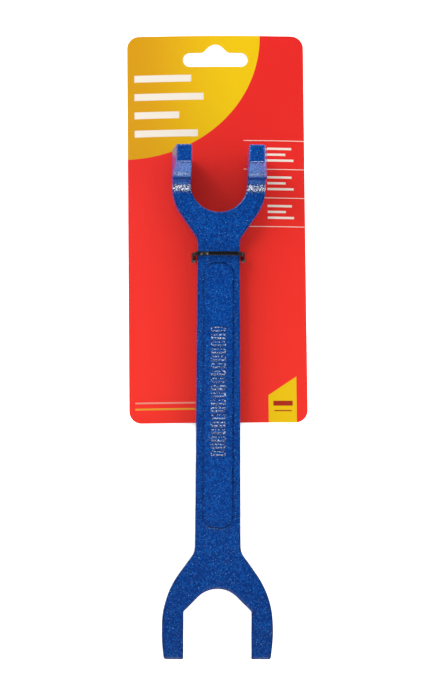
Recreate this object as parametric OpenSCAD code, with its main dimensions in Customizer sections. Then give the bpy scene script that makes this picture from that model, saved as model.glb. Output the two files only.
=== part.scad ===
// Basin wrench (back-nut wrench): one casting with a flat fork at one end and a fork
// cranked through 90 degrees at the other, tied to its hanging card with a cable tie.
// The wrench lies on its back: +Z is the front of the plate, +Y runs towards the small
// fork and the card's hanging slot, and the card's side edges stand on Z = 0.

/* [Casting] */
// Overall length, from the large fork's tips to the back of the small fork
wrench_len = 245; // [240:1:250]
// Thickness of the flat plate
plate_t = 8.5; // [7:0.5:9]
// Width of the shank at its neck, below the small fork
neck_w = 20.8; // [18:0.1:21]
// Width of the shank where it meets the large fork
shank_w = 22.4; // [21:0.1:22.6]

/* [Large fork] */
// Gap between the large jaws, for 3/4 in back nuts
large_gap = 32; // [30:0.5:34]
// Width over the large fork
large_w = 53.6; // [50:0.2:56]
// Width over the large fork at its tips
large_tip_w = 51.4; // [50:0.2:52]
// Radius of the arch at the bottom of the large mouth
large_arch_r = 13; // [11:0.5:14]
// Depth of the large mouth, from the tips to the top of its arch
large_depth = 33.4; // [32:0.2:36]

/* [Small fork] */
// Gap between the small jaws, for 1/2 in back nuts
small_gap = 27; // [25:0.5:28]
// Width over the small fork at its root
small_w = 45.8; // [43:0.2:48]
// Width over the small fork at its tips
small_tip_w = 42; // [40:0.2:43]
// Height of the prong tips above the back of the plate
prong_rise = 36; // [30:1:40]
// Thickness of a prong at its tip, along the wrench
prong_tip_t = 8.7; // [7:0.1:10]
// Lean of the prongs' front faces
prong_lean = 14; // [6:1:16]

/* [Raised panel] */
// Width of the raised panel along the shank
panel_w = 14.4; // [12:0.2:15]
// Length of the raised panel
panel_len = 128; // [110:1:130]
// Height of the raised panel above the plate
panel_h = 0.7; // [0.4:0.1:0.9]
// Number of cross ribs standing on the panel
rib_count = 18; // [6:1:20]
// Height of the ribs above the panel
rib_h = 0.5; // [0.3:0.1:0.5]

/* [Cable tie] */
// Width of the tie's strap
strap_w = 2.5; // [2:0.1:2.6]
// Thickness of the tie's strap
strap_t = 1.1; // [0.9:0.1:1.2]
// Distance of the tie from the large fork's tips
tie_y = 194.2; // [190:0.2:196]

/* [Hanging card] */
// Width of the card, measured straight across its bow
card_w = 87; // [80:1:90]
// Length of the card
card_len = 191; // [187:1:195]
// Thickness of the board
card_t = 0.9; // [0.6:0.1:0.9]
// Height of the underside of the card's crest above its side edges
card_bow = 4.4; // [4.4:0.1:5]
// Radius of the card's corners
card_corner_r = 6; // [3:0.5:10]
// Overall width of the hanging slot
slot_w = 32; // [30:0.5:34]
// How far the card hangs askew, turned about the tie
card_turn = 0.76; // [-2:0.01:2]
// How far the card sits to the right of the wrench's centreline
card_shift = -0.5; // [-1:0.1:1]

/* [Hidden] */
$fn = 96;
eps = 0.01;

// Overall layout: the card reaches past the small fork, the large fork past the card
card_y0 = 113.5;
total_len = card_y0 + card_len;
wrench_gap = 0.3;
wrench_z = card_bow + card_t + wrench_gap;

// Casting: corners of the plan outline, measured from the large fork's tips
large_shoulder_y = 51.3;
large_side_y = 29.9;
large_side_r = 43;
large_tip_y = 9;
large_tip_r = 1.2;
neck_y = 196.5;
small_neck_y = 202.4;
small_shoulder_y = 220.6;
small_centre_y = 229.4;
tip_chamfer = 0.8;
back_draft = 1.2;
prong_fillet_r = 4.5;
prong_shoulder_z = 18;
prong_shoulder_r = 20;
crank_corner_r = 6;
panel_y0 = 62.6;
rib_y0 = 97.5;
rib_y1 = 159.1;
rib_w = 6.8;
rib_l = 1.7;

// Tie: the loop stands clear of the shank, and its head lies under the card's crest
loop_half_w = 12.8;
loop_z0 = 2.65;
loop_z1 = 16.7;
loop_crown = 0.9;
loop_bottom_r = 2.2;
loop_top_r = 3.2;
loop_crown_r = 60;
head_z0 = 0.25;
head_h = 3.6;
head_x0 = -2.9;
head_len = 5.2;
head_w = 4.6;
pawl_slot_x0 = -1.4;
pawl_slot_len = 2.4;
pawl_slot_w = 2.9;
pawl_w = 2.4;

// Card: the slot's place above its bottom edge, and the radius of its bow
bow_r = (pow(card_w / 2, 2) + pow(card_bow, 2)) / (2 * card_bow);
slot_y = 179;
slot_h = 7;
slot_bump_h = 3.9;
slot_bump_w = 4.4;
slot_bump_base_w = 12.4;
tie_slot_w = 1.8;
tie_slot_h = 4.6;
tie_slot_r = 0.4;

function unit(v) = v / norm(v);

// Points of the arc of radius r that rounds corner b between a and c
function corner_arc(a, b, c, r, n) =
    let (u = unit(a - b), v = unit(c - b))
    let (half = acos(u * v) / 2)
    let (start = b + u * r / tan(half), end = b + v * r / tan(half))
    let (centre = b + unit(u + v) * r / sin(half))
    let (from = start - centre, to = end - centre)
    let (a0 = atan2(from.y, from.x), a1 = atan2(to.y, to.x))
    let (turn = (a1 - a0 + 540) % 360 - 180)
    [for (i = [0:n]) centre + r * [cos(a0 + turn * i / n), sin(a0 + turn * i / n)]];

// A closed outline from corners [x, y, radius], with n steps on each rounded corner
function rounded(corners, n = 8) =
    let (m = len(corners), p = [for (c = corners) [c.x, c.y]])
    [for (i = [0:m - 1])
        each (corners[i].z == 0
            ? [p[i]]
            : corner_arc(p[(i + m - 1) % m], p[i], p[(i + 1) % m], corners[i].z, n))];

// Corners given for the right half only, then any on the centreline, then the mirror images
function both_sides(half, middle = []) =
    concat(half, middle, [for (i = [len(half) - 1:-1:0]) [-half[i].x, half[i].y, half[i].z]]);

function box_corners(w, h, r) = both_sides([[w / 2, 0, r], [w / 2, h, r]]);

// Stands an XZ profile up and extrudes it along Y, about Y = 0
module along_y(length) {
    rotate([90, 0, 0]) linear_extrude(length, center = true) children();
}

// Stands a YZ profile up and extrudes it along X, about X = 0
module along_x(length) {
    rotate([90, 0, 90]) linear_extrude(length, center = true) children();
}

// Plan of the casting, with both mouths still closed
module casting_plan() {
    polygon(rounded(both_sides([
        [large_tip_w / 2, 0, large_tip_r],
        [large_w / 2, large_tip_y, 60],
        [large_w / 2, large_side_y, large_side_r],
        [shank_w / 2, large_shoulder_y, 8],
        [neck_w / 2, neck_y, 60],
        [neck_w / 2, small_neck_y, 7],
        [small_w / 2, small_shoulder_y, small_w / 2],
        [small_w / 2, wrench_len, 0]])));
}

// Side view of the casting: the plate, and the crank that carries the prongs
module casting_side() {
    tip_y = wrench_len - back_draft;
    root_y = tip_y - prong_tip_t - (prong_rise - plate_t) * tan(prong_lean);
    polygon(rounded([
        [0, 0, 0],
        [wrench_len, 0, crank_corner_r],
        [tip_y, prong_rise, 1],
        [tip_y - prong_tip_t, prong_rise, 1],
        [root_y, plate_t, prong_fillet_r],
        [0, plate_t, 0]]));
}

// End view of the casting: the prongs narrow towards their tips
module casting_end() {
    polygon(rounded(both_sides([
        [large_w, -1, 0],
        [large_w, plate_t, 0],
        [small_w / 2, plate_t, 0],
        [small_w / 2, prong_shoulder_z, prong_shoulder_r],
        [small_tip_w / 2, prong_rise, 1.5]])));
}

// Large mouth: parallel jaws, and bevels at 45 degrees that meet in a round arch
module large_mouth() {
    jaw_x = large_gap / 2;
    apex_y = large_depth + large_arch_r * (sqrt(2) - 1);
    polygon(rounded(both_sides([
        [jaw_x + tip_chamfer + 1, -1, 0],
        [jaw_x, tip_chamfer, 0],
        [jaw_x, apex_y - jaw_x, 0]],
        [[0, apex_y, large_arch_r]]), 24));
}

// Small mouth: a U whose straight sides run out between the prongs
module small_mouth() {
    translate([0, small_centre_y]) circle(small_gap / 2);
    translate([-small_gap / 2, small_centre_y]) square([small_gap, wrench_len]);
}

// Raised panel on the front of the shank, with plain cross ribs on it
module panel() {
    pitch = (rib_y1 - rib_y0 - rib_l) / (rib_count - 1);
    translate([0, panel_y0, plate_t - 1])
        linear_extrude(1 + panel_h) polygon(rounded(box_corners(panel_w, panel_len, 5.8)));
    for (i = [0:rib_count - 1])
        translate([0, rib_y0 + i * pitch, plate_t])
            linear_extrude(panel_h + rib_h) polygon(rounded(box_corners(rib_w, rib_l, 0.8), 4));
}

module wrench_casting() {
    color("royalblue") translate([0, -total_len / 2, wrench_z]) {
        difference() {
            intersection() {
                linear_extrude(prong_rise) casting_plan();
                along_x(2 * large_w) casting_side();
                translate([0, wrench_len / 2, 0]) along_y(2 * wrench_len) casting_end();
            }
            translate([0, 0, -1]) linear_extrude(prong_rise + 2) {
                large_mouth();
                small_mouth();
            }
        }
        panel();
    }
}

// Outline of the tie's loop, shrunk all round by inset
module loop_outline(inset) {
    polygon(rounded([
        [-loop_half_w + inset, loop_z0 + inset, loop_bottom_r - inset],
        [loop_half_w - inset, loop_z0 + inset, loop_bottom_r - inset],
        [loop_half_w - inset, loop_z1 - inset, loop_top_r - inset],
        [0, loop_z1 + loop_crown - inset, loop_crown_r - inset],
        [-loop_half_w + inset, loop_z1 - inset, loop_top_r - inset]]));
}

// The tie is one moulding: the strap leaves one side of the head, goes round the shank
// and through both slits in the card, and its trimmed tail dives into the head's slot
module cable_tie() {
    color("black") translate([0, tie_y - total_len / 2, 0]) {
        difference() {
            union() {
                along_y(strap_w) difference() {
                    loop_outline(0);
                    loop_outline(strap_t);
                }
                translate([head_x0, -head_w / 2, head_z0]) cube([head_len, head_w, head_h]);
            }
            translate([pawl_slot_x0, -pawl_slot_w / 2, head_z0 - 1])
                cube([pawl_slot_len, pawl_slot_w, head_h + 2]);
        }
        translate([pawl_slot_x0 + pawl_slot_len - strap_t, -strap_w / 2, head_z0])
            cube([strap_t + eps, strap_w, loop_z0 + strap_t - head_z0]);
    }
}

// The head's locking tongue, which leans against the tail
module tie_pawl() {
    foot = [pawl_slot_x0 + 0.1, head_z0 + 0.35];
    color("dimgray") translate([0, tie_y - total_len / 2, 0]) along_y(pawl_w)
        polygon([foot, foot + [0.5, 0], foot + [1.1, 2.1], foot + [0.5, 2.1]]);
}

// Hanging slot about its centre: a flat slot with a soft bump in its upper edge
module hanging_slot() {
    polygon(rounded(both_sides([
        [slot_w / 2, -slot_h / 2, 3.4],
        [slot_w / 2, slot_h / 2, 3.4],
        [slot_bump_base_w / 2, slot_h / 2, 2.4],
        [slot_bump_w / 2, slot_h / 2 + slot_bump_h, 2.6]])));
}

// Plan of the card about the tie, with the hanging slot and a slit for each side of the strap
module card_plan() {
    difference() {
        translate([card_shift, card_y0 - tie_y]) difference() {
            polygon(rounded(box_corners(card_w, card_len, card_corner_r)));
            translate([0, slot_y]) hanging_slot();
        }
        for (side = [-1, 1])
            translate([side * (loop_half_w - strap_t / 2), -tie_slot_h / 2])
                polygon(rounded(box_corners(tie_slot_w, tie_slot_h, tie_slot_r), 4));
    }
}

// Board bowed across its width: its side edges are on Z = 0 and its crest is over the tie's head
module hang_card() {
    color("crimson") translate([0, tie_y - total_len / 2, 0]) rotate(card_turn) intersection() {
        translate([0, 0, -1]) linear_extrude(card_bow + card_t + 2) card_plan();
        translate([card_shift, 0, card_bow - bow_r]) along_y(2 * total_len) difference() {
            circle(bow_r + card_t, $fn = 720);
            circle(bow_r, $fn = 720);
        }
    }
}

wrench_casting();
cable_tie();
tie_pawl();
hang_card();
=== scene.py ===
"""Basin wrench tied to its hanging card: the looks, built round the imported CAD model.

Shapes are worked out in millimetres and turned into metres when a piece is made. The
casting, the tie and its tongue are each a signed distance function, which one mesher
turns into a fine mesh with round edges. The card is cut from a flat outline and bowed.
"""
import math

import bmesh
import bpy
import numpy as np
from mathutils import Matrix, Vector, noise


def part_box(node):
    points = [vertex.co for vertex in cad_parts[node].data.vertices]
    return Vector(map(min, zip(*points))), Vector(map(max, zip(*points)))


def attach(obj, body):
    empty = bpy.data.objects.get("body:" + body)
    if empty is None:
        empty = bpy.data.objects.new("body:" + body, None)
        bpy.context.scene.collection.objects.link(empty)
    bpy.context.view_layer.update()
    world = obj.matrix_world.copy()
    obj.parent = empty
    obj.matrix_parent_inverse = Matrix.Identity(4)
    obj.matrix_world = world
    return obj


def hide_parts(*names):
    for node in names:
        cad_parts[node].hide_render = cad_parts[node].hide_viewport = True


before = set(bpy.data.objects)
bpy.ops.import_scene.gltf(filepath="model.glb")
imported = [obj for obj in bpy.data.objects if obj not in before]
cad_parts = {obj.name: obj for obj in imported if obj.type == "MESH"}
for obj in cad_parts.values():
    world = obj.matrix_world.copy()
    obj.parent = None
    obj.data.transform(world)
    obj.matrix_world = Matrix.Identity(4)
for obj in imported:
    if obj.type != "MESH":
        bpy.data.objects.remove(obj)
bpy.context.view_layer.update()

MM = 0.001

# Casting, measured from the large fork's tips and from the back of the plate
WRENCH_LEN = 245
PLATE_T = 8.5
LARGE_GAP = 32
LARGE_DEPTH = 33.4
LARGE_ARCH_R = 13
SMALL_GAP = 27
SMALL_CENTRE_Y = 229.4
PRONG_RISE = 36
PRONG_TIP_Y = (235.1, 243.8)
PRONG_ROOT_Y = 228.24
PRONG_SHOULDER_Z = 18
FILLET_Y = 227
PRONG_NARROWING = 1.9
PANEL = (14.4, 128, 62.6, 0.7)
PANEL_CORNER_R = 5.8
RIB_COUNT = 18
RIB_SPAN = (97.5, 159.1)
RIB_SIZE = (6.8, 1.7, 0.5)
RIB_CORNER_R = 0.5
DRAFT = 0.3
PARTING_RIDGE = 0.1
WALL_CORNER_R = 0.7
EDGE_R = 0.6
PAST = 20
CASTING_STEPS = (0.5, 0.55, 0.5)

# Tie, measured from the middle of its strap and from the floor
STRAP_W = 2.5
STRAP_T = 1.1
STRAP_EDGE_R = 0.32
LOOP_HALF_W = 12.8
LOOP_Z = (2.65, 16.7)
STRAP_CROWN = 0.3
STRAP_TILT = math.radians(-6)
STRAP_TWIST = math.radians(42)
STRAP_TWIST_X = -7
STRAP_LEAN = 0.7
STRAP_NARROWING = 0.25
TOOTH_PITCH = 1.05
TOOTH_DEPTH = 0.26
RAIL_Y = 0.86
HEAD_LOW = (-2.9, -2.3, 0.25)
HEAD_HIGH = (2.3, 2.3, 3.85)
HEAD_SLOT_X = (-1.4, 1.0)
HEAD_SLOT_HALF_W = 1.45
HEAD_EDGE_R = 0.45
HEAD_SLOT_R = 0.15
PAWL = ((-1.3, 0.6), (-0.8, 0.6), (-0.2, 2.7), (-0.8, 2.7))
PAWL_HALF_W = 1.2
PAWL_TOOTH = (0.6, 0.17)
TIE_STEPS = (0.15, 0.15, 0.15)
TONGUE_STEPS = (0.05, 0.05, 0.05)

# Card, measured from the tie along its length
CARD_W = 87
CARD_LEN = 191
CARD_T = 0.9
CARD_BOW = 4.4
CARD_BELOW_TIE = 80.7
CARD_SHIFT = -0.5
CARD_TURN = math.radians(0.76)
CARD_CORNER_R = 6
SLOT_Y = 179
TIE_SLIT = (2.0, 4.9, 0.4)
EDGE_WAVE = 0.35
CORNER_CURL = 1.8
CURL_START_Y = 110
CARD_CELL = (3.0, 5.0)
RIM_BEVEL = 0.1
PRINT_SOFTNESS = 0.08
YELLOW_CORNER = (65.5, 61)
HEAD_PITCH = 9.1
RULE_PITCH = 14.2
LINE_PITCH = 2.9

# Camera, in metres and radians
CAMERA_PLACE = (-0.0262, -0.08575, 1.0)
CAMERA_TARGET = (-0.00036, 0.00032, 0)
CAMERA_ROLL = -0.0036
LENS = 107.5

# Studio, in metres and watts
LAMP_TARGET = (0, 0.02, 0.02)
ROOM_GLOW = (2.65, 0.03)
ROOM_IN_REFLECTIONS = 0.3
FLOOR_GLOW = 0.85


# ---------------------------------------------------------------- outlines

def unit(v):
    return v / np.hypot(*v)


def rounded(corners, steps=10):
    """Closed outline from corners (x, y, radius); a radius of 0 leaves the corner sharp."""
    points = []
    count = len(corners)
    for i, (x, y, radius) in enumerate(corners):
        corner = np.array((x, y), float)
        if radius == 0:
            points.append(corner)
            continue
        u = unit(np.array(corners[i - 1][:2]) - corner)
        v = unit(np.array(corners[(i + 1) % count][:2]) - corner)
        half = math.acos(np.dot(u, v)) / 2
        centre = corner + unit(u + v) * radius / math.sin(half)
        first = math.atan2(*(corner + u * radius / math.tan(half) - centre)[::-1])
        last = math.atan2(*(corner + v * radius / math.tan(half) - centre)[::-1])
        turn = (last - first + math.pi) % math.tau - math.pi
        angles = first + turn * np.linspace(0, 1, steps + 1)
        points.extend(centre + radius * np.stack([np.cos(angles), np.sin(angles)], 1))
    return np.array(points)


def both_sides(half, middle=()):
    """Corners of the right half, any on the centreline, then the mirror images."""
    return [*half, *middle, *[(-x, y, r) for x, y, r in reversed(half)]]


def box_outline(width, height, radius, low_y=0, steps=10):
    """Outline of a rounded rectangle centred on x = 0."""
    half = [(width / 2, low_y, radius), (width / 2, low_y + height, radius)]
    return rounded(both_sides(half), steps)


# ---------------------------------------------------------------- distance functions

def polygon_distance(outline, x, y):
    """Distance to a closed outline, negative inside it."""
    nearest = np.full(np.broadcast(x, y).shape, np.inf)
    inside = np.zeros(nearest.shape, bool)
    for (ax, ay), (bx, by) in zip(outline, np.roll(outline, -1, axis=0)):
        ex, ey = bx - ax, by - ay
        share = np.clip(((x - ax) * ex + (y - ay) * ey) / (ex * ex + ey * ey), 0, 1)
        nearest = np.minimum(nearest, (x - ax - share * ex) ** 2 + (y - ay - share * ey) ** 2)
        if ey != 0:
            inside ^= ((ay > y) != (by > y)) & (x < ax + (y - ay) * ex / ey)
    return np.where(inside, -1, 1) * np.sqrt(nearest)


def path_distance(path, x, y):
    """Distance to an open path, the length along it, and which side of it (1 left, -1 right)."""
    nearest = np.full(np.broadcast(x, y).shape, np.inf)
    along = np.zeros(nearest.shape)
    side = np.ones(nearest.shape)
    start = 0
    for (ax, ay), (bx, by) in zip(path[:-1], path[1:]):
        ex, ey = bx - ax, by - ay
        length = math.hypot(ex, ey)
        share = np.clip(((x - ax) * ex + (y - ay) * ey) / length ** 2, 0, 1)
        here = (x - ax - share * ex) ** 2 + (y - ay - share * ey) ** 2
        closer = here < nearest
        nearest = np.where(closer, here, nearest)
        along = np.where(closer, start + share * length, along)
        side = np.where(closer, np.sign(ex * (y - ay) - ey * (x - ax)), side)
        start += length
    return np.sqrt(nearest), along, side


def round_both(a, b, radius):
    """What is inside both shapes, with an edge of that radius where they meet."""
    edge = np.hypot(np.maximum(a + radius, 0), np.maximum(b + radius, 0))
    return np.minimum(np.maximum(a, b), -radius) + edge


def round_either(a, b, radius):
    """What is inside either shape, with a fillet of that radius where they meet."""
    return -round_both(-a, -b, radius)


def box_distance(low, high, radius, x, y, z):
    """Distance to a box whose edges and corners are rounded."""
    outside = 0
    deepest = -np.inf
    for value, a, b in zip((x, y, z), low, high):
        past = np.abs(value - (a + b) / 2) - (b - a) / 2 + radius
        outside = outside + np.maximum(past, 0) ** 2
        deepest = np.maximum(deepest, past)
    return np.sqrt(outside) + np.minimum(deepest, 0) - radius


# ---------------------------------------------------------------- mesher

def surface_net(field, axes):
    """Points and quads of the surface where a sampled distance field is zero."""
    inside = field < 0
    shape = np.array(field.shape) - 1
    corners = np.array(np.meshgrid((0, 1), (0, 1), (0, 1), indexing="ij")).reshape(3, 8).T
    count = sum(inside[tuple(slice(c, c + n) for c, n in zip(corner, shape))].astype(np.int8)
                for corner in corners)
    mixed = (count > 0) & (count < 8)
    cells = np.argwhere(mixed)
    number = np.full(shape, -1)
    number[mixed] = np.arange(len(cells))

    total = np.zeros((len(cells), 3))
    crossings = np.zeros(len(cells))
    for axis in range(3):
        step = np.eye(3, dtype=int)[axis]
        for corner in corners[corners[:, axis] == 0]:
            near = field[tuple((cells + corner).T)]
            far = field[tuple((cells + corner + step).T)]
            crosses = (near < 0) != (far < 0)
            share = np.where(crosses, near / np.where(crosses, near - far, 1), 0)
            total += crosses[:, None] * (cells + corner + share[:, None] * step)
            crossings += crosses
    steps = np.array([axis[1] - axis[0] for axis in axes])
    points = np.array([axis[0] for axis in axes]) + steps * total / crossings[:, None]

    quads = []
    for axis in range(3):
        low = tuple(slice(0, -1) if a == axis else slice(1, -1) for a in range(3))
        high = tuple(slice(1, None) if a == axis else slice(1, -1) for a in range(3))
        edges = np.argwhere(inside[low] != inside[high])
        edges += np.array([0 if a == axis else 1 for a in range(3)])
        leaves = inside[tuple(edges.T)]
        u, v = np.eye(3, dtype=int)[[(axis + 1) % 3, (axis + 2) % 3]]
        ring = np.stack([number[tuple((edges - d).T)] for d in (u + v, v, 0 * u, u)], 1)
        quads.append(np.where(leaves[:, None], ring, ring[:, ::-1]))
    return points, np.concatenate(quads)


def even_out(points, quads):
    """Moves each point to the middle of its neighbours."""
    a = np.concatenate([quads[:, i] for i in range(4)])
    b = np.concatenate([quads[:, (i + 1) % 4] for i in range(4)])
    a, b = np.concatenate([a, b]), np.concatenate([b, a])
    size = len(points)
    total = np.stack([np.bincount(a, points[b, i], size) for i in range(3)], 1)
    return total / np.bincount(a, minlength=size)[:, None]


def settle(points, distance, rounds=2, reach=0.01):
    """Moves each point onto the surface where the distance is exactly zero."""
    for _ in range(rounds):
        here = distance(*points.T)
        slope = np.stack([distance(*(points + reach * axis).T) - here for axis in np.eye(3)], 1)
        slope /= reach
        points = points - slope * (here / np.maximum((slope ** 2).sum(1), 0.3))[:, None]
    return points


def mesh_distance(distance, low, high, steps):
    """Mesh of a distance function's surface, on a grid of these steps."""
    axes = [np.arange(a - 1.7 * s, b + 2.3 * s, s) for a, b, s in zip(low, high, steps)]
    x, y, z = np.meshgrid(*axes, indexing="ij", sparse=True)
    points, quads = surface_net(distance(x, y, z), axes)
    points = settle(points, distance)
    points = settle((points + even_out(points, quads)) / 2, distance)
    return points, quads


def add_piece(name, points, faces, materials, material_index=None, sharp=None):
    """Makes an object from points in millimetres, in the row frame."""
    mesh = bpy.data.meshes.new(name)
    mesh.from_pydata((np.asarray(points) * MM).tolist(), [], [list(map(int, f)) for f in faces])
    for material in materials:
        mesh.materials.append(material)
    if material_index is not None:
        mesh.polygons.foreach_set("material_index", material_index)
    mesh.polygons.foreach_set("use_smooth", np.ones(len(mesh.polygons), bool))
    if sharp:
        mesh.set_sharp_from_angle(angle=math.radians(sharp))
    mesh.update()
    piece = bpy.data.objects.new(name, mesh)
    bpy.context.scene.collection.objects.link(piece)
    return piece


def fit_to_node(piece, body, node):
    """Lets a piece stand for a CAD node and move with its body."""
    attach(piece, body)
    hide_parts(node)


# ---------------------------------------------------------------- shader nodes

class Shader:
    """Builds one material's nodes."""

    def __init__(self, name):
        self.material = bpy.data.materials.new(name)
        self.material.use_nodes = True
        self.tree = self.material.node_tree
        self.surface = self.tree.nodes["Principled BSDF"]

    def connect(self, socket, value):
        if isinstance(value, bpy.types.NodeSocket):
            self.tree.links.new(value, socket)
        else:
            socket.default_value = value

    def add(self, kind, inputs, **settings):
        node = self.tree.nodes.new("ShaderNode" + kind)
        for name, value in settings.items():
            setattr(node, name, value)
        for name, value in inputs.items():
            self.connect(node.inputs[name], value)
        return node

    def finish(self, **inputs):
        for name, value in inputs.items():
            self.connect(self.surface.inputs[name.replace("_", " ")], value)
        return self.material

    def math(self, operation, *values):
        return self.add("Math", dict(enumerate(values)), operation=operation).outputs[0]

    def object_place(self):
        return self.add("TexCoord", {}).outputs["Object"]

    def noise(self, place, scale, detail=2, roughness=0.5):
        inputs = {"Vector": place, "Scale": scale, "Detail": detail, "Roughness": roughness}
        return self.add("TexNoise", inputs).outputs["Fac"]

    def between(self, value, low, high, to_low=0, to_high=1):
        inputs = dict(enumerate((value, low, high, to_low, to_high)))
        node = self.add("MapRange", inputs, interpolation_type="SMOOTHSTEP")
        return node.outputs["Result"]

    def mix(self, share, a, b):
        node = self.add("Mix", {}, data_type="RGBA")
        for index, value in ((0, share), (6, a), (7, b)):
            self.connect(node.inputs[index], value)
        return node.outputs[2]

    def bump(self, height, strength, distance, under=None):
        inputs = {"Height": height, "Strength": strength, "Distance": distance}
        if under is not None:
            inputs["Normal"] = under
        return self.add("Bump", inputs).outputs["Normal"]


def colour(red, green, blue):
    """Linear colour from sRGB values out of 255."""
    channels = [c / 255 for c in (red, green, blue)]
    return (*[c / 12.92 if c <= 0.04045 else ((c + 0.055) / 1.055) ** 2.4 for c in channels], 1)


# ---------------------------------------------------------------- wrench casting

PLAN = rounded(both_sides([
    (25.7, 0.1, 1.2),
    (26.8, 9, 60),
    (26.8, 29.9, 43),
    (11.2, 51.3, 8),
    (10.4, 196.5, 60),
    (10.4, 202.4, 7),
    (22.9, 220.6, 22.9),
    (22.9, WRENCH_LEN + PAST, 0)]), 12)

MOUTH = rounded(both_sides(
    [(LARGE_GAP / 2, -PAST, 0),
     (LARGE_GAP / 2, LARGE_DEPTH + LARGE_ARCH_R * (math.sqrt(2) - 1) - LARGE_GAP / 2, 0)],
    [(0, LARGE_DEPTH + LARGE_ARCH_R * (math.sqrt(2) - 1), LARGE_ARCH_R)]), 14)

SIDE = rounded([
    (-PAST, 0, 0),
    (WRENCH_LEN, 0, 6),
    (PRONG_TIP_Y[1], PRONG_RISE, 1),
    (PRONG_TIP_Y[0], PRONG_RISE, 1),
    (PRONG_ROOT_Y, PLATE_T, 4.5),
    (-PAST, PLATE_T, 0)])

PANEL_PLAN = box_outline(*PANEL[:2], PANEL_CORNER_R, PANEL[2])


def rib_plan(x, y):
    """Distance to the nearest cross rib, seen from the front."""
    width, length, _ = RIB_SIZE
    first = RIB_SPAN[0] + length / 2
    pitch = (RIB_SPAN[1] - RIB_SPAN[0] - length) / (RIB_COUNT - 1)
    nearest = np.clip(np.round((y - first) / pitch), 0, RIB_COUNT - 1)
    dx = np.abs(x) - width / 2 + RIB_CORNER_R
    dy = np.abs(y - first - nearest * pitch) - length / 2 + RIB_CORNER_R
    outside = np.hypot(np.maximum(dx, 0), np.maximum(dy, 0))
    return outside + np.minimum(np.maximum(dx, dy), 0) - RIB_CORNER_R


def wall_plan(x, y):
    """Distance to the outer wall or the large mouth, seen from the front."""
    return np.maximum(polygon_distance(PLAN, x, y), -polygon_distance(MOUTH, x, y))


def casting(x, y, z):
    """Distance to the casting, with draft on its walls and a parting line half way up."""
    draft = np.interp(z, (0, PLATE_T / 2, PLATE_T, 2 * PLATE_T), (DRAFT, 0, DRAFT, 0))
    ridge = PARTING_RIDGE * np.exp(-((z - PLATE_T / 2) / 0.6) ** 2)
    narrowing = np.interp(z, (PRONG_SHOULDER_Z, PRONG_RISE), (0, PRONG_NARROWING))
    outer = polygon_distance(PLAN, x, y) + draft - ridge + narrowing
    large = -polygon_distance(MOUTH, x, y) + draft
    small = SMALL_GAP / 2 - np.hypot(x, np.minimum(y - SMALL_CENTRE_Y, 0)) + draft
    walls = round_both(outer, np.maximum(large, small), WALL_CORNER_R)
    body = round_both(walls, polygon_distance(SIDE, y, z), EDGE_R)
    panel = round_both(polygon_distance(PANEL_PLAN, x, y), z - PLATE_T - PANEL[3], 0.4)
    ribs = round_both(rib_plan(x, y), z - PLATE_T - PANEL[3] - RIB_SIZE[2], 0.35)
    body = round_either(body, np.maximum(panel, PLATE_T / 2 - z), 0.35)
    return round_either(body, np.maximum(ribs, PLATE_T / 2 - z), 0.25)


def cast_surface(points, distance):
    """Small unevenness of a sand casting, pressed inwards only."""
    reach = 0.05
    slope = np.stack([distance(*(points + reach * a).T) - distance(*(points - reach * a).T)
                      for a in np.eye(3)], 1)
    slope /= np.linalg.norm(slope, axis=1)[:, None]
    depth = np.array([0.06 * noise.noise(p / 9) + 0.045 * noise.noise(p / 3.1) - 0.06
                      for p in map(Vector, points)])
    return points + slope * depth[:, None]


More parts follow.
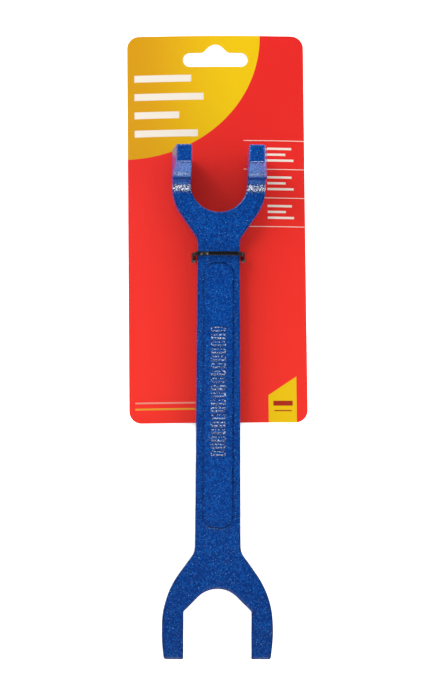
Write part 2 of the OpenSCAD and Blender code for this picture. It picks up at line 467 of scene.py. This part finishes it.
def hammer_paint():
    """Blue hammer paint with a mottled tone, and painted light on top of it: painted shade,
    dark and without gloss, in the creases round the panel and ribs, along the wall rims and
    across the prong faces; painted glints, with dark specks among them, on the ribs, fillets
    and prong faces, where the paint is also bumpier; a paler painted sheen on the prong
    faces; and painted shade towards the large fork."""
    s = Shader("hammer_paint")
    place = s.object_place()
    clouds = s.noise(place, 260, 3)
    flecks = s.noise(place, 1250, 2, 0.6)
    grain = s.noise(place, 1700, 1)
    dark_grain = s.noise(place, 1500, 1, 0.4)
    lumps_and_painted_sparkle = s.add("Attribute", {}, attribute_name="lumps_and_painted_sparkle").outputs["Fac"]
    painted_shade = s.add("Attribute", {}, attribute_name="painted_shade").outputs["Fac"]
    painted_sheen = s.add("Attribute", {}, attribute_name="painted_sheen").outputs["Fac"]
    y = s.add("SeparateXYZ", {"Vector": place}).outputs["Y"]
    normal = s.add("NewGeometry", {}).outputs["Normal"]
    facing = s.add("SeparateXYZ", {"Vector": normal}).outputs["Z"]
    flat = s.between(facing, 0.2, 0.7, 0.1, 1)
    spread = s.between(s.math("ADD", flecks, s.math("MULTIPLY", clouds, 0.2)), 0.5, 0.78)
    base = s.mix(spread, colour(0, 48, 121), colour(0, 77, 160))
    # Painted shade: the paint turns darker towards the large fork, where the light falls off.
    base = s.mix(s.between(y, -0.15, -0.05, 0.25, 0), base, colour(0, 16, 60))
    # Painted light: a paler blue on the prong faces, where the sheen is painted.
    pale = s.math("MULTIPLY", painted_sheen, s.between(flecks, 0.3, 0.62, 0.08, 0.62))
    base = s.mix(pale, base, colour(94, 134, 200))
    # Painted shade: darker where shade is painted, in creases, along rims and across the prong faces;
    # the gloss is taken away there too.
    dark = s.math("MULTIPLY", painted_shade, s.between(clouds, 0.35, 0.6, 0.35, 1))
    base = s.mix(dark, base, colour(0, 10, 36))
    # Dark specks where the lumps value is high: partly the paint's own mottling, partly painted shade
    # among the painted glints.
    dark_specks = s.math("MULTIPLY", s.between(dark_grain, 0.48, 0.56), s.between(lumps_and_painted_sparkle, 0.82, 1, 0, 0.8))
    base = s.mix(dark_specks, base, colour(0, 14, 46))
    # Painted highlights: light blue glints all over, turning white where the lumps value is high, on
    # the ribs and fillets.
    painted_glints = s.between(s.math("ADD", grain, s.math("MULTIPLY", lumps_and_painted_sparkle, 0.1)), 0.66, 0.79)
    glint = s.mix(s.between(lumps_and_painted_sparkle, 0.9, 2), colour(90, 145, 208), colour(226, 230, 234))
    base = s.mix(painted_glints, base, glint)
    relief = s.math("MULTIPLY", flat, s.between(lumps_and_painted_sparkle, 0, 1, 0.15, 0.8))
    normal = s.bump(flecks, relief, 0.0005)
    normal = s.bump(painted_glints, s.math("MULTIPLY", flat, 0.4), 0.0002, normal)
    return s.finish(Base_Color=base, Roughness=s.between(painted_shade, 0, 1, 0.2, 0.6), Normal=normal,
                    Specular_IOR_Level=s.between(painted_shade, 0, 0.6, 0.32, 0.03),
                    Coat_Weight=s.between(painted_shade, 0, 0.5, 0.2, 0), Coat_Roughness=0.05)


def add_values(piece, name, values):
    """Gives every point of a piece a value that its shader can read."""
    attribute = piece.data.attributes.new(name, "FLOAT", "POINT")
    attribute.data.foreach_set("value", values.astype(np.float32))


def fade(distance, width):
    """1 up to distance 0, falling to 0 at that width."""
    return np.clip(1 - distance / width, 0, 1)


def make_wrench():
    """The casting, with values on its points that say where shade, glints and sheen are
    painted on its paint, and where the paint is bumpier.
    """
    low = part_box("wrench_casting")[0] / MM
    box_low, box_high = (-27.1, 0, 0), (27.1, WRENCH_LEN, PRONG_RISE)
    points, quads = mesh_distance(casting, box_low, box_high, CASTING_STEPS)
    x, y, z = points.T
    front = (z > PLATE_T - 0.4) & (z < PLATE_T + PANEL[3] + RIB_SIZE[2])
    # Painted shade: a dark line round the raised panel, darker on its right side than on its left.
    panel_edge_shade = front * fade(np.abs(polygon_distance(PANEL_PLAN, x, y) + 0.05) - 0.3, 0.5)
    painted_shade = panel_edge_shade * np.interp(x, (-7, 7), (0.6, 0.85))
    # Painted shade round the foot of each rib.
    rib_foot_shade = front * fade(np.abs(rib_plan(x, y) - 0.25), 0.5)
    # Painted highlights: white glints along the fillets at the prong roots.
    fillet = (z > PLATE_T - 0.2) * (z < PLATE_T + 6) * fade(np.abs(y - FILLET_Y) - 1, 2)
    # Painted shade along the rounded top edge of the walls, where their gloss is also taken away.
    rim = (z > PLATE_T - 1) * (z < PLATE_T + 0.1) * fade(np.abs(wall_plan(x, y) + 0.3) - 0.4, 0.5)
    face_y = np.interp(z, (PLATE_T, PRONG_RISE), (PRONG_ROOT_Y, PRONG_TIP_Y[0]))
    face = (z > PLATE_T + 3) * fade(np.abs(y - face_y), 0.8)
    # Painted light: a paler sheen on the upper part of each prong face.
    pale_z = (PRONG_SHOULDER_Z + 0.5, PRONG_SHOULDER_Z + 2, PRONG_RISE - 1.5, PRONG_RISE - 0.5)
    painted_sheen = face * np.interp(z, pale_z, (0, 1, 1, 0))
    # Painted glints and dark specks in a band across each prong face and along its tip edge.
    low_specks = 0.8 * fade(np.abs(z - PRONG_SHOULDER_Z - 4), 4)
    specks = face * np.maximum(low_specks, 0.9 * fade(np.abs(z - PRONG_RISE + 0.8), 1.2))
    # Painted shade: a dark band across each prong face, below its paler part.
    shade = face * fade(np.abs(z - PRONG_SHOULDER_Z + 1) - 1, 1.5)
    points = cast_surface(points, casting)
    piece = add_piece("casting", points + np.array((0, low.y, low.z)), quads, [hammer_paint()])
    # All the masks of painted shade, given to the shader as one value.
    painted_shade_masks = [painted_shade, 0.6 * rib_foot_shade, 0.65 * rim, 0.5 * shade]
    add_values(piece, "painted_shade", np.maximum.reduce(painted_shade_masks))
    # Painted glints on the ribs, which are also made bumpier.
    ribs = 1.7 * front * fade(rib_plan(x, y), 0.8)
    add_values(piece, "lumps_and_painted_sparkle", np.maximum.reduce([ribs, 1.8 * fillet, 0.7 * painted_sheen + specks]))
    add_values(piece, "painted_sheen", painted_sheen)
    fit_to_node(piece, "wrench", "wrench_casting")


# ---------------------------------------------------------------- cable tie and its tongue

STRAP_X = LOOP_HALF_W - STRAP_T / 2
STRAP_LOW = LOOP_Z[0] + STRAP_T / 2
STRAP_HIGH = LOOP_Z[1] - STRAP_T / 2
TAIL_X = HEAD_SLOT_X[1] - STRAP_T / 2

STRAP_PATH = rounded([
    (HEAD_LOW[0] + 0.9, STRAP_LOW, 0),
    (-STRAP_X, STRAP_LOW, 1.65),
    (-STRAP_X, STRAP_HIGH, 4.4),
    (0, STRAP_HIGH + STRAP_CROWN, 60),
    (STRAP_X, STRAP_HIGH, 4.4),
    (STRAP_X, STRAP_LOW, 1.65),
    (TAIL_X, STRAP_LOW, 0.6),
    (TAIL_X, -1, 0)], 12)


def strap(x, y, z):
    """Distance to the strap, with saw teeth between two rails on its inner face."""
    away, along, side = path_distance(STRAP_PATH, x, z)
    tooth = TOOTH_DEPTH * ((along / TOOTH_PITCH) % 1)
    rail = np.clip((RAIL_Y - np.abs(y)) / 0.12, 0, 1)
    flat = away - STRAP_T / 2 + tooth * rail * (side < 0)
    half_w = np.interp(z, (8, 14), (STRAP_W / 2, STRAP_W / 2 - STRAP_NARROWING))
    return np.maximum(round_both(flat, np.abs(y) - half_w, STRAP_EDGE_R), HEAD_LOW[2] - z)


def head(x, y, z):
    """Distance to the head: a rounded block with a flared slot and a notch for the strap."""
    block = box_distance(HEAD_LOW, HEAD_HIGH, HEAD_EDGE_R, x, y, z)
    flare = np.maximum(z - HEAD_HIGH[2] + 0.8, 0) * 0.4
    slot_low = (HEAD_SLOT_X[0], -HEAD_SLOT_HALF_W, -5)
    slot_high = (HEAD_SLOT_X[1], HEAD_SLOT_HALF_W, 9)
    slot = box_distance(slot_low, slot_high, HEAD_SLOT_R, x, y, z) - flare
    notch = box_distance((0, -1.4, LOOP_Z[0] - 0.05), (9, 1.4, 9), HEAD_SLOT_R, x, y, z)
    return round_both(block, -np.minimum(slot, notch), 0.18)


def tie(x, y, z):
    """Distance to the whole tie without its tongue."""
    return round_either(strap(x, y, z), head(x, y, z), 0.2)


def tongue(x, y, z):
    """Distance to the locking tongue, whose teeth face the tail of the strap."""
    profile = polygon_distance(np.array(PAWL), x, z)
    (low_x, low_z), (high_x, high_z) = PAWL[1:3]
    lean = (x - low_x) - (z - low_z) * (high_x - low_x) / (high_z - low_z)
    tooth = lean + PAWL_TOOTH[1] * (((z - PAWL[0][1]) / PAWL_TOOTH[0]) % 1)
    return round_both(np.maximum(profile, tooth), np.abs(y) - PAWL_HALF_W, 0.1)


def black_nylon(name, shade):
    """Moulded black nylon; shade is its darkest linear value."""
    s = Shader(name)
    place = s.object_place()
    ripple = s.noise(place, 900, 2)
    grain = s.noise(place, 5200, 2)
    base = s.mix(ripple, (shade, shade, shade * 1.1, 1), (shade * 1.9, shade * 1.9, shade * 2, 1))
    normal = s.bump(grain, 0.08, 0.0001, s.bump(ripple, 0.2, 0.0002))
    return s.finish(Base_Color=base, Roughness=s.between(grain, 0.3, 0.7, 0.2, 0.3), Normal=normal,
                    Specular_IOR_Level=0.18)


def lean_strap(points):
    """Tilts the strap's front run and leans its side runs, as a loop that hangs a little slack."""
    x, y, z = points.T
    share = np.clip((z - 8) / 6, 0, 1)
    tilt = share * (STRAP_TILT + STRAP_TWIST * np.exp(-((x - STRAP_TWIST_X) / 2.4) ** 2))
    above = (z - STRAP_HIGH) * share
    new_y = y * np.cos(tilt) - above * np.sin(tilt) + STRAP_LEAN * np.clip((z - 5) / 10, 0, 1)
    new_z = z - above + y * np.sin(tilt) + above * np.cos(tilt)
    return np.stack([x, new_y, new_z], 1)


def make_tie():
    """The tie and its tongue, both lined up with the CAD strap."""
    middle = sum(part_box("cable_tie"), Vector()).y / 2 / MM
    low = (-LOOP_HALF_W, HEAD_LOW[1], HEAD_LOW[2])
    high = (LOOP_HALF_W, HEAD_HIGH[1], LOOP_Z[1] + STRAP_CROWN)
    points, quads = mesh_distance(tie, low, high, TIE_STEPS)
    points = lean_strap(points) + np.array((0, middle, 0))
    piece = add_piece("tie", points, quads, [black_nylon("tie_nylon", 0.004)])
    fit_to_node(piece, "tie", "cable_tie")

    low = (PAWL[0][0], -PAWL_HALF_W, PAWL[0][1])
    high = (PAWL[2][0], PAWL_HALF_W, PAWL[2][1])
    points, quads = mesh_distance(tongue, low, high, TONGUE_STEPS)
    points = points + np.array((0, middle, 0))
    piece = add_piece("tongue", points, quads, [black_nylon("tongue_nylon", 0.008)])
    fit_to_node(piece, "pawl", "tie_pawl")


# ---------------------------------------------------------------- hanging card

def slot_outline():
    """Hanging slot: a flat slot with a soft bump in the middle of its upper edge."""
    half_w, half_h = 16, 3.5
    return rounded(both_sides([
        (half_w, -half_h, 3.4),
        (half_w, half_h, 3.4),
        (6.1, half_h, 2.4)], [(0, 9.6, 5)])) + np.array((0, SLOT_Y))


def card_height(x, y):
    """Height of the bowed card's underside. Its long sides lift a little off the floor in
    places, and its upper corners more."""
    radius = ((CARD_W / 2) ** 2 + CARD_BOW ** 2) / (2 * CARD_BOW)
    bow = CARD_BOW - radius + np.sqrt(radius ** 2 - x ** 2)
    wave = 0.5 + 0.3 * np.sin(y / 21 + np.sign(x)) + 0.2 * np.sin(y / 9.3)
    curl = CORNER_CURL * np.clip((y - CURL_START_Y) / (CARD_LEN - CURL_START_Y), 0, 1) ** 2
    return bow + (EDGE_WAVE * wave + curl) * (np.abs(x) / (CARD_W / 2)) ** 3


def flat_card():
    """The card's plan as small flat faces, in millimetres from its bottom edge."""
    slit = box_outline(*TIE_SLIT, CARD_BELOW_TIE - TIE_SLIT[1] / 2, 4)
    slits = [slit + np.array((side * STRAP_X - CARD_SHIFT, 0)) for side in (-1, 1)]
    sheet = bmesh.new()
    for outline in (box_outline(CARD_W, CARD_LEN, CARD_CORNER_R), slot_outline(), *slits):
        corners = [sheet.verts.new((x, y, 0)) for x, y in outline]
        for a, b in zip(corners, corners[1:] + corners[:1]):
            sheet.edges.new((a, b))
    bmesh.ops.triangle_fill(sheet, use_beauty=True, edges=sheet.edges[:])
    cuts = [(Vector((1, 0, 0)), x) for x in np.arange(-42, 43, CARD_CELL[0])]
    cuts += [(Vector((0, 1, 0)), y) for y in np.arange(5, 190, CARD_CELL[1])]
    for direction, place in cuts:
        bmesh.ops.bisect_plane(sheet, geom=sheet.verts[:] + sheet.edges[:] + sheet.faces[:],
                               plane_co=direction * place, plane_no=direction)
    sheet.normal_update()
    for face in sheet.faces:
        if face.normal.z < 0:
            face.normal_flip()
    sheet.verts.index_update()
    points = np.array([v.co[:2] for v in sheet.verts])
    faces = [[v.index for v in face.verts] for face in sheet.faces]
    rim = [(loop.vert.index, loop.link_loop_next.vert.index)
           for edge in sheet.edges if len(edge.link_loops) == 1 for loop in edge.link_loops]
    sheet.free()
    return points, faces, rim


def printed_board():
    """Varnished front of the card: red, with a yellow corner, a yellow tab and plain bars."""
    s = Shader("printed_board")
    place = s.add("Attribute", {}, attribute_name="card_place").outputs["Vector"]
    split = s.add("SeparateXYZ", {"Vector": place})
    x, y = split.outputs["X"], split.outputs["Y"]
    fibres = s.noise(place, 1.7, 4, 0.6)

    def box(centre_x, centre_y, width, height):
        """1 inside a plain printed bar, 0 outside it."""
        dx = s.math("SUBTRACT", s.math("ABSOLUTE", s.math("SUBTRACT", x, centre_x)), width / 2)
        dy = s.math("SUBTRACT", s.math("ABSOLUTE", s.math("SUBTRACT", y, centre_y)), height / 2)
        return s.between(s.math("MAXIMUM", dx, dy), -PRINT_SOFTNESS, PRINT_SOFTNESS, 1, 0)

    def any_of(masks):
        total = masks[0]
        for mask in masks[1:]:
            total = s.math("MAXIMUM", total, mask)
        return total

    red = s.mix(s.between(y, 0, CARD_LEN), colour(226, 44, 34), colour(214, 33, 29))
    yellow = s.mix(s.between(x, -42, 12), colour(199, 142, 0), colour(221, 181, 2))
    across = s.math("DIVIDE", s.math("ADD", x, CARD_W / 2), YELLOW_CORNER[0])
    down = s.math("DIVIDE", s.math("SUBTRACT", CARD_LEN, y), YELLOW_CORNER[1])
    reach = s.math("ADD", s.math("MULTIPLY", across, across), s.math("MULTIPLY", down, down))
    corner = s.between(reach, 0.996, 1.004, 1, 0)
    slant = s.between(s.math("SUBTRACT", y, s.math("MULTIPLY", x, 0.66)), -2.8, -2.6, 1, 0)
    tab = s.math("MULTIPLY", box(31.2, 10, 13.8, 30), slant)
    base = s.mix(s.math("MAXIMUM", corner, tab), red, yellow)
    rules = [box(29, 96.1 + RULE_PITCH * i, 31, 0.3) for i in range(4)]
    heads = [box(-40 + width / 2, 169.9 - HEAD_PITCH * i, width, 3.4)
             for i, width in enumerate((28, 34, 22, 31))]
    lines = [box(25 + width / 2, 134.7 - RULE_PITCH * i - LINE_PITCH * j, width, 1.1)
             for i in range(3) for j, width in enumerate((12, 9, 13))]
    base = s.mix(any_of(rules + heads + lines), base, colour(222, 213, 200))
    base = s.mix(box(-26, 9.9, 29, 0.8), base, colour(216, 132, 116))
    base = s.mix(box(-26, 6.9, 29, 0.9), base, colour(212, 142, 40))
    tab_bars = [box(31.4, 9.4, 9.5, 2.4), box(31.4, 5.8, 8.5, 0.6)]
    base = s.mix(any_of(tab_bars), base, colour(160, 34, 18))
    base = s.mix(s.math("MULTIPLY", fibres, 0.012), base, colour(222, 222, 222))
    normal = s.bump(fibres, 0.05, 0.0002)
    return s.finish(Base_Color=base, Roughness=s.between(fibres, 0.3, 0.7, 0.36, 0.44), Normal=normal,
                    Specular_IOR_Level=0.07)


def bare_board(name, pale):
    """Unprinted board, with its fibres showing."""
    s = Shader(name)
    place = s.object_place()
    fibres = s.noise(place, 1900, 5, 0.65)
    flecks = s.noise(place, 420, 3)
    base = s.mix(s.between(fibres, 0.35, 0.7), colour(*pale), colour(*[c - 26 for c in pale]))
    base = s.mix(s.math("MULTIPLY", flecks, 0.12), base, colour(170, 150, 126))
    return s.finish(Base_Color=base, Roughness=0.85, Normal=s.bump(fibres, 0.4, 0.0001))


def make_card():
    """The bowed and printed card, turned a little askew round the tie."""
    plan, faces, rim = flat_card()
    count = len(plan)
    under = card_height(*plan.T)
    flat = np.concatenate([plan, plan])
    height = np.concatenate([under, under + CARD_T])
    local = flat + np.array((CARD_SHIFT, -CARD_BELOW_TIE))
    cos, sin = math.cos(CARD_TURN), math.sin(CARD_TURN)
    middle = sum(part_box("cable_tie"), Vector()).y / 2 / MM
    points = np.stack([local[:, 0] * cos - local[:, 1] * sin,
                       local[:, 0] * sin + local[:, 1] * cos + middle, height], 1)
    back = [face[::-1] for face in faces]
    front = [[i + count for i in face] for face in faces]
    walls = [[a, b, b + count, a + count] for a, b in rim]
    outer = [abs(plan[a][0]) > 40 or not 5 < plan[a][1] < CARD_LEN - 5 for a, b in rim]
    index = [1] * len(back) + [0] * len(front) + [2 if edge else 0 for edge in outer]
    materials = [printed_board(), bare_board("card_back", (226, 222, 214)),
                 bare_board("card_core", (240, 236, 230))]
    piece = add_piece("card", points, back + front + walls, materials, index, sharp=40)
    place = piece.data.attributes.new("card_place", "FLOAT_VECTOR", "POINT")
    place.data.foreach_set("vector", np.column_stack([flat, np.zeros(2 * count)]).ravel())
    rims = piece.modifiers.new("rims", "BEVEL")
    rims.width = RIM_BEVEL * MM
    rims.segments = 2
    rims.limit_method = "ANGLE"
    rims.angle_limit = math.radians(60)
    fit_to_node(piece, "card", "hang_card")


# ---------------------------------------------------------------- studio

def area_light(name, place, target, size, power):
    """Rectangular lamp of that size, turned to its target."""
    data = bpy.data.lights.new(name, "AREA")
    data.shape = "RECTANGLE"
    data.size, data.size_y = size
    data.energy = power
    lamp = bpy.data.objects.new(name, data)
    lamp.location = place
    lamp.rotation_euler = (Vector(target) - Vector(place)).to_track_quat("-Z", "Y").to_euler()
    bpy.context.scene.collection.objects.link(lamp)
    return lamp


def make_world():
    """A white room under a dark ceiling, so that flat glossy faces keep their colour. The
    walls light the object more than they shine in it."""
    world = bpy.data.worlds.new("studio")
    world.use_nodes = True
    tree = world.node_tree
    direction = tree.nodes.new("ShaderNodeTexCoord").outputs["Generated"]
    split = tree.nodes.new("ShaderNodeSeparateXYZ")
    tree.links.new(direction, split.inputs["Vector"])
    darken = tree.nodes.new("ShaderNodeMapRange")
    tree.links.new(split.outputs["Z"], darken.inputs["Value"])
    glossy = tree.nodes.new("ShaderNodeMapRange")
    ray = tree.nodes.new("ShaderNodeLightPath")
    tree.links.new(ray.outputs["Is Glossy Ray"], glossy.inputs["Value"])
    for node, ends in ((darken, (0.2, 0.8, *ROOM_GLOW)), (glossy, (0, 1, 1, ROOM_IN_REFLECTIONS))):
        for name, value in zip(("From Min", "From Max", "To Min", "To Max"), ends):
            node.inputs[name].default_value = value
    strength = tree.nodes.new("ShaderNodeMath")
    strength.operation = "MULTIPLY"
    tree.links.new(darken.outputs["Result"], strength.inputs[0])
    tree.links.new(glossy.outputs["Result"], strength.inputs[1])
    tree.links.new(strength.outputs[0], tree.nodes["Background"].inputs["Strength"])
    tree.nodes["Background"].inputs["Color"].default_value = (1, 1, 1, 1)
    bpy.context.scene.world = world


def make_floor():
    """A glowing white table, which doesn't glow where something lies close above it."""
    mesh = bpy.data.meshes.new("floor")
    half, low = 3, -0.0002
    corners = [(-half, -half, low), (half, -half, low), (half, half, low), (-half, half, low)]
    mesh.from_pydata(corners, [], [(0, 1, 2, 3)])
    floor = bpy.data.objects.new("floor", mesh)
    bpy.context.scene.collection.objects.link(floor)
    s = Shader("light_table")
    open_above = s.add("AmbientOcclusion", {"Distance": 0.02}).outputs["AO"]
    glow = s.between(open_above, 0.2, 0.45, 0, FLOOR_GLOW)
    white = s.finish(Base_Color=(0.9, 0.9, 0.9, 1), Roughness=0.9,
                     Emission_Color=(1, 1, 1, 1), Emission_Strength=glow)
    mesh.materials.append(white)


def make_studio():
    make_world()
    make_floor()
    area_light("key", (-0.5, 0.5, 0.76), LAMP_TARGET, (0.62, 0.62), 3.6)
    area_light("glint", (-0.42, 0.5, 0.8), LAMP_TARGET, (0.09, 0.09), 1.0)
    area_light("side_box", (0.8, 0.05, 0.75), LAMP_TARGET, (0.7, 0.7), 1.8)
    area_light("top_box", (0.1, 0.85, 0.7), LAMP_TARGET, (0.6, 0.6), 0.8)
    fill = area_light("fill", (0, 0, 1.2), (0, 0, 0), (0.5, 0.5), 1.0)
    fill.visible_glossy = False
    shine = area_light("shine", (-0.03, -0.6, 0.8), (0, 0.07, 0.02), (0.6, 0.28), 10)
    shine.visible_diffuse = False
    bpy.context.scene.view_settings.view_transform = "Standard"


def make_camera():
    """Looks almost straight down on the front of the wrench, from a metre away."""
    data = bpy.data.cameras.new("camera")
    data.sensor_width = 36
    data.lens = LENS
    data.clip_end = 20
    camera = bpy.data.objects.new("camera", data)
    place = Vector(CAMERA_PLACE)
    back = (place - Vector(CAMERA_TARGET)).normalized()
    up = Vector((math.sin(CAMERA_ROLL), math.cos(CAMERA_ROLL), 0))
    right = up.cross(back).normalized()
    turn = Matrix((right, back.cross(right), back)).transposed().to_4x4()
    camera.matrix_world = Matrix.Translation(place) @ turn
    bpy.context.scene.collection.objects.link(camera)
    bpy.context.scene.camera = camera


make_camera()
make_studio()
make_wrench()
make_tie()
make_card()
